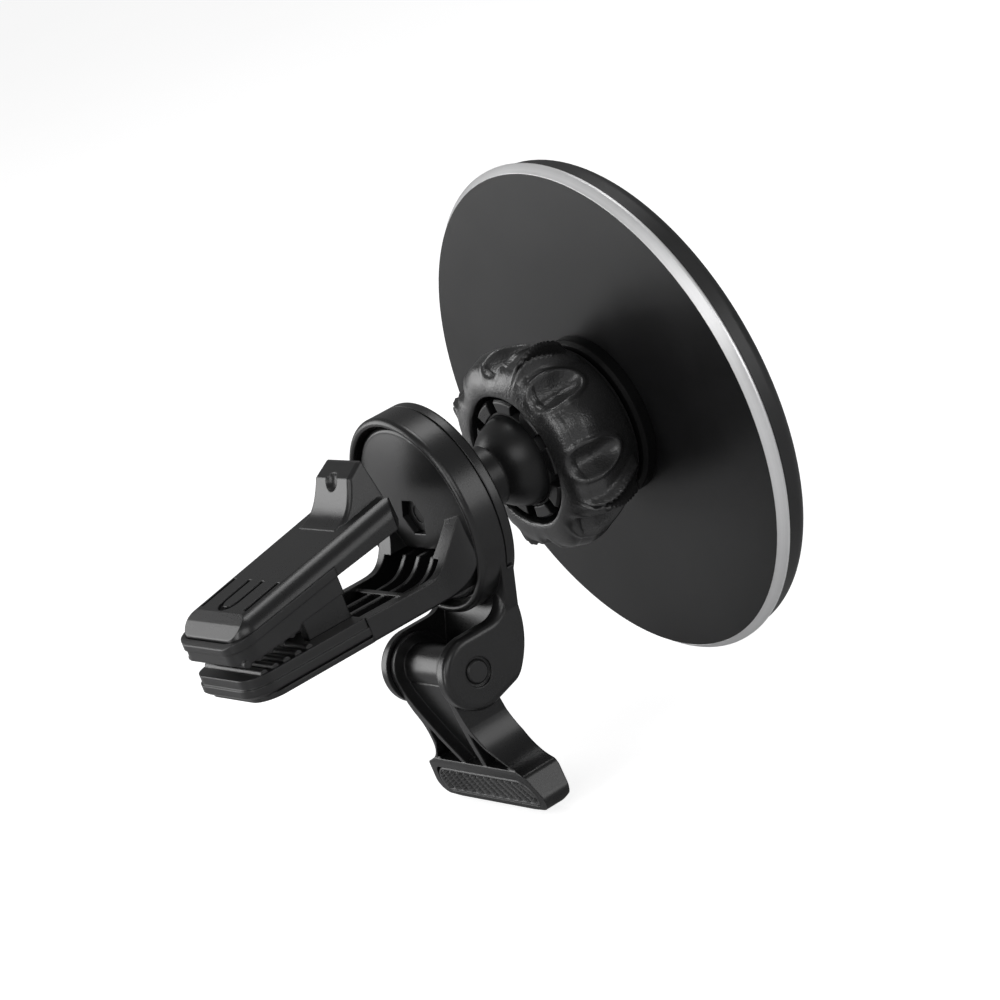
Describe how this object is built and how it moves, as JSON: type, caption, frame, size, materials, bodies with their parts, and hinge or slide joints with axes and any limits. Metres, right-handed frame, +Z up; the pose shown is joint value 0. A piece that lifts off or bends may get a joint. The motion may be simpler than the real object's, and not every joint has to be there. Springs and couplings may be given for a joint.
{
  "type": "car phone mount",
  "caption": "Magnetic phone plate on a clamped ball joint, carried by a sprung air-vent clip with a turning ring and a swing-out foot.",
  "frame": {"origin": "middle of the gap between the two jaws, where the vent blade is gripped", "axes": "+Y from the phone plate to the jaw tips along the drum and ball axis, +Z up from the vent blade, so the plate's phone face looks along -Y"},
  "size_m": [0.06, 0.0609, 0.0637],
  "materials": {
    "satin_black": "satin moulded ABS",
    "brushed_trim": "turned bright bevel",
    "soft_rubber": "matte silicone",
    "inner_plastic": "matte acetal",
    "magnet_plating": "nickel plate",
    "steel": "zinc-plated",
    "grained_black": "fine leather grain",
    "dark_steel": "black oxide",
    "pad_rubber": "semi-matte TPU"
  },
  "bodies": {
    "clip": {"clip_base": "satin_black", "lower_jaw_pad": "pad_rubber", "jaw_pivot_pin": "steel", "jaw_spring": "steel", "drum_cap": "satin_black", "hex_nut": "dark_steel", "friction_washer": "steel", "ball_stud": "satin_black", "stud_screw": "dark_steel"},
    "jaw": {"upper_jaw": "satin_black", "upper_jaw_pad": "pad_rubber"},
    "foot_ring": {"foot_bracket": "satin_black", "foot_pin": "dark_steel"},
    "foot": {"foot_leg": "satin_black", "foot_pad": "pad_rubber"},
    "liner": {"ball_liner": "soft_rubber"},
    "seat": {"ball_seat": "soft_rubber"},
    "plate": {"plate_back": "satin_black", "trim_ring": "brushed_trim", "bezel": "satin_black", "grip_disc": "soft_rubber", "magnet_carrier": "inner_plastic", "ring_magnets": "magnet_plating", "yoke_ring": "steel", "ball_socket": "satin_black", "plate_screws": "steel", "clamp_ring": "inner_plastic"},
    "nut": {"clamp_nut": "grained_black"}
  },
  "joints": [
    {"name": "jaw_hinge", "type": "hinge", "parent": "clip", "child": "jaw", "pos_m": [0, -0.0067, 0.004], "axis": [1, 0, 0], "range_deg": [0, 18], "stiffness_Nm_per_rad": 0.15, "springref_deg": -20.05},
    {"name": "ring_turn", "type": "hinge", "parent": "clip", "child": "foot_ring", "pos_m": [0, -0.025, 0.0041], "axis": [0, 1, 0], "continuous": true},
    {"name": "foot_hinge", "type": "hinge", "parent": "foot_ring", "child": "foot", "pos_m": [0, -0.01974, -0.0126], "axis": [1, 0, 0], "range_deg": [-20, 75]},
    {"name": "ball_tilt", "type": "hinge", "parent": "clip", "child": "liner", "pos_m": [0, -0.03844, 0.0041], "axis": [1, 0, 0], "range_deg": [-20, 20]},
    {"name": "ball_swing", "type": "hinge", "parent": "liner", "child": "seat", "pos_m": [0, -0.03844, 0.0041], "axis": [0, 0, 1], "range_deg": [-20, 20]},
    {"name": "ball_spin", "type": "hinge", "parent": "seat", "child": "plate", "pos_m": [0, -0.03844, 0.0041], "axis": [0, 1, 0], "continuous": true},
    {"name": "nut_turn", "type": "hinge", "parent": "plate", "child": "nut", "pos_m": [0, -0.042, 0.0041], "axis": [0, 1, 0], "continuous": true}
  ]
}
